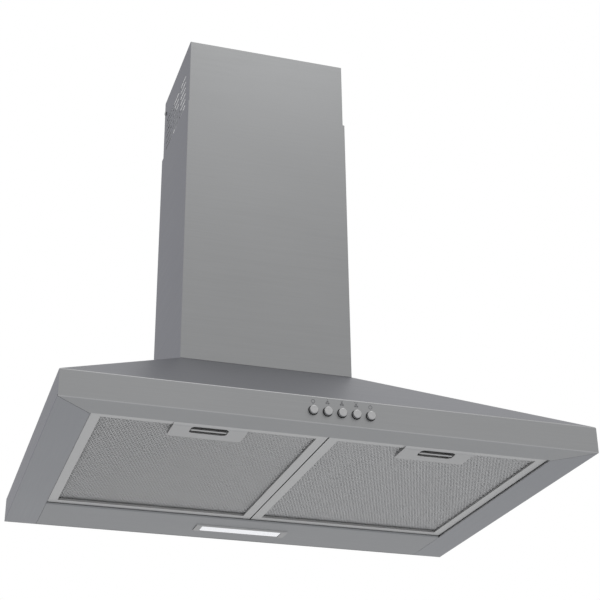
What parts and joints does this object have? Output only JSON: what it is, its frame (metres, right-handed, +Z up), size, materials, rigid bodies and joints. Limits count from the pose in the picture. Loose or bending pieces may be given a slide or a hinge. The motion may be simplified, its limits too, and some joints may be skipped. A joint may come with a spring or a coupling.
{
  "type": "chimney range hood",
  "caption": "Wall-mounted pyramid range hood with a telescoping chimney, hinged grease filters, strip lamp, push buttons and a centrifugal blower.",
  "frame": {"origin": "the point of the flat rear face, at the wall, midway between the two keyhole hangers", "axes": "+X to the right as seen from the front, +Y into the wall, +Z up"},
  "size_m": [0.6, 0.455, 0.6733],
  "materials": {
    "stainless": "satin stainless sheet with a fine grain",
    "galvanised": "zinc-coated sheet, matte",
    "steel": "plain machined steel",
    "lamp_frame": "satin",
    "opal": "opal diffuser",
    "circuit_board": "white board",
    "white_plastic": "moulded",
    "black_plastic": "moulded",
    "grey_plastic": "moulded",
    "button_chrome": "bright plated",
    "filter_aluminium": "mill finish",
    "filter_mesh": "expanded mesh layers",
    "rubber": "soft black"
  },
  "bodies": {
    "hood": {"canopy_front": "stainless", "canopy_side_right": "stainless", "canopy_side_left": "stainless", "canopy_deck": "stainless", "rear_light_panel": "stainless", "back_panel": "stainless", "lower_duct_cover": "stainless", "cover_base_frame": "galvanised", "switch_bracket": "galvanised", "motor_bracket": "galvanised", "blower_screw_1": "steel", "blower_screw_2": "steel", "blower_screw_3": "steel", "blower_screw_4": "steel", "motor": "steel", "lamp_bezel": "lamp_frame", "lamp_lens": "opal", "led_board": "circuit_board", "led_driver": "white_plastic", "outlet_collar": "white_plastic", "terminal_box": "white_plastic", "terminal_box_lid": "white_plastic", "capacitor": "white_plastic", "switch_block": "black_plastic", "scroll_left": "grey_plastic", "scroll_right": "grey_plastic", "cable_grommet": "rubber"},
    "upper_chimney": {"upper_duct_cover": "stainless", "upper_wall_bracket": "galvanised", "cover_screw_right": "steel", "cover_screw_left": "steel"},
    "blower_wheel": {"impeller_disc": "black_plastic", "impeller_cage_right": "black_plastic", "impeller_cage_left": "black_plastic", "motor_shaft": "steel", "impeller_nut": "steel"},
    "front_flap": {"flap_front": "white_plastic"},
    "rear_flap": {"flap_rear": "white_plastic"},
    "button_1": {"button_1": "button_chrome"},
    "button_2": {"button_2": "button_chrome"},
    "button_3": {"button_3": "button_chrome"},
    "button_4": {"button_4": "button_chrome"},
    "button_5": {"button_5": "button_chrome"},
    "filter_left": {"filter_frame_left": "filter_aluminium", "filter_mesh_left": "filter_mesh", "filter_handle_left": "filter_aluminium"},
    "latch_left": {"filter_latch_left": "filter_aluminium"},
    "filter_right": {"filter_frame_right": "filter_aluminium", "filter_mesh_right": "filter_mesh", "filter_handle_right": "filter_aluminium"},
    "latch_right": {"filter_latch_right": "filter_aluminium"}
  },
  "joints": [
    {"name": "chimney_extend", "type": "slide", "parent": "hood", "child": "upper_chimney", "axis": [0, 0, 1], "range_m": [-0.07, 0.24]},
    {"name": "wheel_spin", "type": "hinge", "parent": "hood", "child": "blower_wheel", "pos_m": [0, -0.078, -0.028], "axis": [1, 0, 0], "continuous": true},
    {"name": "front_flap_swing", "type": "hinge", "parent": "hood", "child": "front_flap", "pos_m": [0, -0.108, 0.1003], "axis": [-1, 0, 0], "range_deg": [0, 80]},
    {"name": "rear_flap_swing", "type": "hinge", "parent": "hood", "child": "rear_flap", "pos_m": [0, -0.1, 0.1003], "axis": [1, 0, 0], "range_deg": [0, 80]},
    {"name": "button_1_press", "type": "slide", "parent": "hood", "child": "button_1", "axis": [0, 1, 0], "range_m": [0, 0.003], "stiffness_N_per_m": 300, "springref_m": -0.002},
    {"name": "button_2_press", "type": "slide", "parent": "hood", "child": "button_2", "axis": [0, 1, 0], "range_m": [0, 0.003], "stiffness_N_per_m": 300, "springref_m": -0.002},
    {"name": "button_3_press", "type": "slide", "parent": "hood", "child": "button_3", "axis": [0, 1, 0], "range_m": [0, 0.003], "stiffness_N_per_m": 300, "springref_m": -0.002},
    {"name": "button_4_press", "type": "slide", "parent": "hood", "child": "button_4", "axis": [0, 1, 0], "range_m": [0, 0.003], "stiffness_N_per_m": 300, "springref_m": -0.002},
    {"name": "button_5_press", "type": "slide", "parent": "hood", "child": "button_5", "axis": [0, 1, 0], "range_m": [0, 0.003], "stiffness_N_per_m": 300, "springref_m": -0.002},
    {"name": "filter_left_swing", "type": "hinge", "parent": "hood", "child": "filter_left", "pos_m": [-0.12995, -0.0913, -0.138], "axis": [1, 0, 0], "range_deg": [0, 75]},
    {"name": "latch_left_pull", "type": "slide", "parent": "filter_left", "child": "latch_left", "axis": [0, 1, 0], "range_m": [0, 0.005], "stiffness_N_per_m": 400, "springref_m": -0.002},
    {"name": "filter_right_swing", "type": "hinge", "parent": "hood", "child": "filter_right", "pos_m": [0.12995, -0.0913, -0.138], "axis": [1, 0, 0], "range_deg": [0, 75]},
    {"name": "latch_right_pull", "type": "slide", "parent": "filter_right", "child": "latch_right", "axis": [0, 1, 0], "range_m": [0, 0.005], "stiffness_N_per_m": 400, "springref_m": -0.002}
  ]
}
